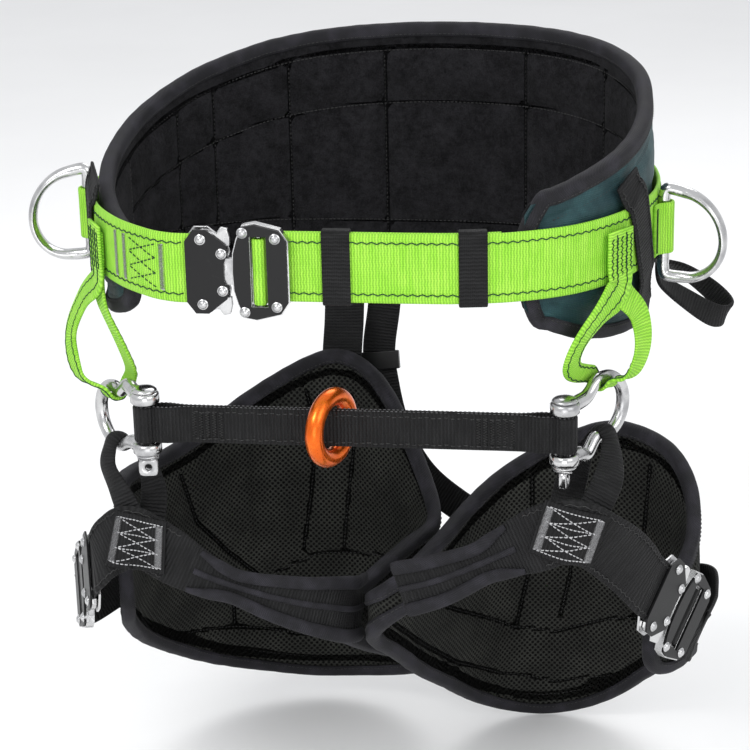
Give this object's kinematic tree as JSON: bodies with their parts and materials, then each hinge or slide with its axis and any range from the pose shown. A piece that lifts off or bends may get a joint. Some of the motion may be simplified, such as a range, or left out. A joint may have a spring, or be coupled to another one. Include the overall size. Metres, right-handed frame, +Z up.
{
  "type": "tree climbing saddle",
  "caption": "Arborist saddle: padded waist with green belt and quick-release buckle, side D-rings, webbing bridge with sliding ring, and padded leg loops.",
  "frame": {"origin": "middle of the waist opening at the height of the belt's middle", "axes": "+X to the right of the saddle as seen from its front (the wearer's left), +Y to the wearer's back, +Z up"},
  "size_m": [0.4803, 0.3122, 0.523],
  "materials": {
    "teal_shell": "matte",
    "fleece_lining": "matte",
    "spacer_mesh": "matte",
    "binding_tape": "matte",
    "green_webbing": "satin",
    "black_webbing": "satin",
    "polished_alloy": "polished",
    "black_plate": "satin",
    "orange_alloy": "gloss"
  },
  "bodies": {
    "harness": {"back_riser_slider": "black_plate", "belt_keeper_inner": "black_webbing", "belt_keeper_outer": "black_webbing", "gear_loop": "black_webbing", "left_back_riser": "black_webbing", "left_d_ring_loop": "green_webbing", "left_leg_adjuster": "black_webbing", "left_leg_buckle_female_core": "polished_alloy", "left_leg_buckle_female_cover": "black_plate", "left_leg_hanger": "black_webbing", "left_leg_pad_binding": "binding_tape", "left_leg_pad_lining": "spacer_mesh", "left_leg_pad_shell": "spacer_mesh", "left_leg_strap": "black_webbing", "left_pad_strap": "black_webbing", "left_riser_loop": "green_webbing", "right_back_riser": "black_webbing", "right_d_ring_loop": "green_webbing", "right_leg_adjuster": "black_webbing", "right_leg_buckle_female_core": "polished_alloy", "right_leg_buckle_female_cover": "black_plate", "right_leg_hanger": "black_webbing", "right_leg_pad_binding": "binding_tape", "right_leg_pad_lining": "spacer_mesh", "right_leg_pad_shell": "spacer_mesh", "right_leg_strap": "black_webbing", "right_pad_strap": "black_webbing", "right_riser_loop": "green_webbing", "waist_belt": "green_webbing", "waist_belt_tail": "green_webbing", "waist_buckle_female_core": "polished_alloy", "waist_buckle_female_cover": "black_plate", "waist_pad_binding": "binding_tape", "waist_pad_lining": "fleece_lining", "waist_pad_shell": "teal_shell"},
    "left_d_ring": {"left_d_ring": "polished_alloy"},
    "right_d_ring": {"right_d_ring": "polished_alloy"},
    "bridge": {"left_shackle_bow": "polished_alloy", "left_shackle_pin": "polished_alloy", "right_shackle_bow": "polished_alloy", "right_shackle_pin": "polished_alloy", "bridge_webbing": "black_webbing"},
    "ring": {"bridge_ring": "orange_alloy"},
    "waist_buckle_male": {"waist_buckle_male_core": "polished_alloy", "waist_buckle_male_cover": "black_plate", "waist_buckle_male_web": "green_webbing"},
    "waist_buckle_lever_a": {"waist_buckle_lever_a": "polished_alloy"},
    "waist_buckle_lever_b": {"waist_buckle_lever_b": "polished_alloy"},
    "left_leg_buckle_male": {"left_leg_buckle_male_core": "polished_alloy", "left_leg_buckle_male_cover": "black_plate", "left_leg_buckle_male_web": "black_webbing"},
    "left_leg_buckle_lever_a": {"left_leg_buckle_lever_a": "polished_alloy"},
    "left_leg_buckle_lever_b": {"left_leg_buckle_lever_b": "polished_alloy"},
    "right_leg_buckle_male": {"right_leg_buckle_male_core": "polished_alloy", "right_leg_buckle_male_cover": "black_plate", "right_leg_buckle_male_web": "black_webbing"},
    "right_leg_buckle_lever_a": {"right_leg_buckle_lever_a": "polished_alloy"},
    "right_leg_buckle_lever_b": {"right_leg_buckle_lever_b": "polished_alloy"}
  },
  "joints": [
    {"name": "left_d_ring_swing", "type": "hinge", "parent": "harness", "child": "left_d_ring", "pos_m": [-0.19493, -0.01481, 0.002], "axis": [0, 0, 1], "range_deg": [-65, 65]},
    {"name": "right_d_ring_swing", "type": "hinge", "parent": "harness", "child": "right_d_ring", "pos_m": [0.19454, -0.01426, -0.007], "axis": [0, 0, 1], "range_deg": [-65, 40]},
    {"name": "bridge_swing", "type": "hinge", "parent": "harness", "child": "bridge", "pos_m": [0.158, -0.082, -0.0865], "axis": [0.999, 0.0062, 0.0432], "range_deg": [-50, 12], "deforming": ["left_riser_loop", "right_riser_loop", "left_leg_hanger", "right_leg_hanger"]},
    {"name": "ring_slide", "type": "slide", "parent": "bridge", "child": "ring", "axis": [1, 0, 0], "range_m": [-0.085, 0.105]},
    {"name": "waist_buckle_release", "type": "slide", "parent": "harness", "child": "waist_buckle_male", "axis": [1, 0, 0], "range_m": [0, 0.017]},
    {"name": "waist_buckle_lever_a_press", "type": "hinge", "parent": "harness", "child": "waist_buckle_lever_a", "pos_m": [-0.0895, -0.138, 0.0195], "axis": [0, -1, 0], "range_deg": [-6, 0], "stiffness_Nm_per_rad": 0.02},
    {"name": "waist_buckle_lever_b_press", "type": "hinge", "parent": "harness", "child": "waist_buckle_lever_b", "pos_m": [-0.0895, -0.138, -0.0225], "axis": [0, -1, 0], "range_deg": [0, 6], "stiffness_Nm_per_rad": 0.02},
    {"name": "left_leg_buckle_release", "type": "slide", "parent": "harness", "child": "left_leg_buckle_male", "axis": [-0.3593, 0.6986, -0.6188], "range_m": [0, 0.017], "deforming": ["left_leg_adjuster"]},
    {"name": "left_leg_buckle_lever_a_press", "type": "hinge", "parent": "harness", "child": "left_leg_buckle_lever_a", "pos_m": [-0.18187, -0.10297, -0.24927], "axis": [-0.9162, -0.3901, 0.0916], "range_deg": [-6, 0], "stiffness_Nm_per_rad": 0.02},
    {"name": "left_leg_buckle_lever_b_press", "type": "hinge", "parent": "harness", "child": "left_leg_buckle_lever_b", "pos_m": [-0.18932, -0.07777, -0.2165], "axis": [-0.9162, -0.3901, 0.0916], "range_deg": [0, 6], "stiffness_Nm_per_rad": 0.02},
    {"name": "right_leg_buckle_release", "type": "slide", "parent": "harness", "child": "right_leg_buckle_male", "axis": [0.4013, 0.6221, -0.6723], "range_m": [0, 0.017], "deforming": ["right_leg_adjuster"]},
    {"name": "right_leg_buckle_lever_a_press", "type": "hinge", "parent": "harness", "child": "right_leg_buckle_lever_a", "pos_m": [0.20373, -0.08009, -0.21967], "axis": [0.8317, -0.555, -0.0171], "range_deg": [-6, 0], "stiffness_Nm_per_rad": 0.02},
    {"name": "right_leg_buckle_lever_b_press", "type": "hinge", "parent": "harness", "child": "right_leg_buckle_lever_b", "pos_m": [0.18761, -0.10328, -0.25075], "axis": [0.8317, -0.555, -0.0171], "range_deg": [0, 6], "stiffness_Nm_per_rad": 0.02}
  ]
}
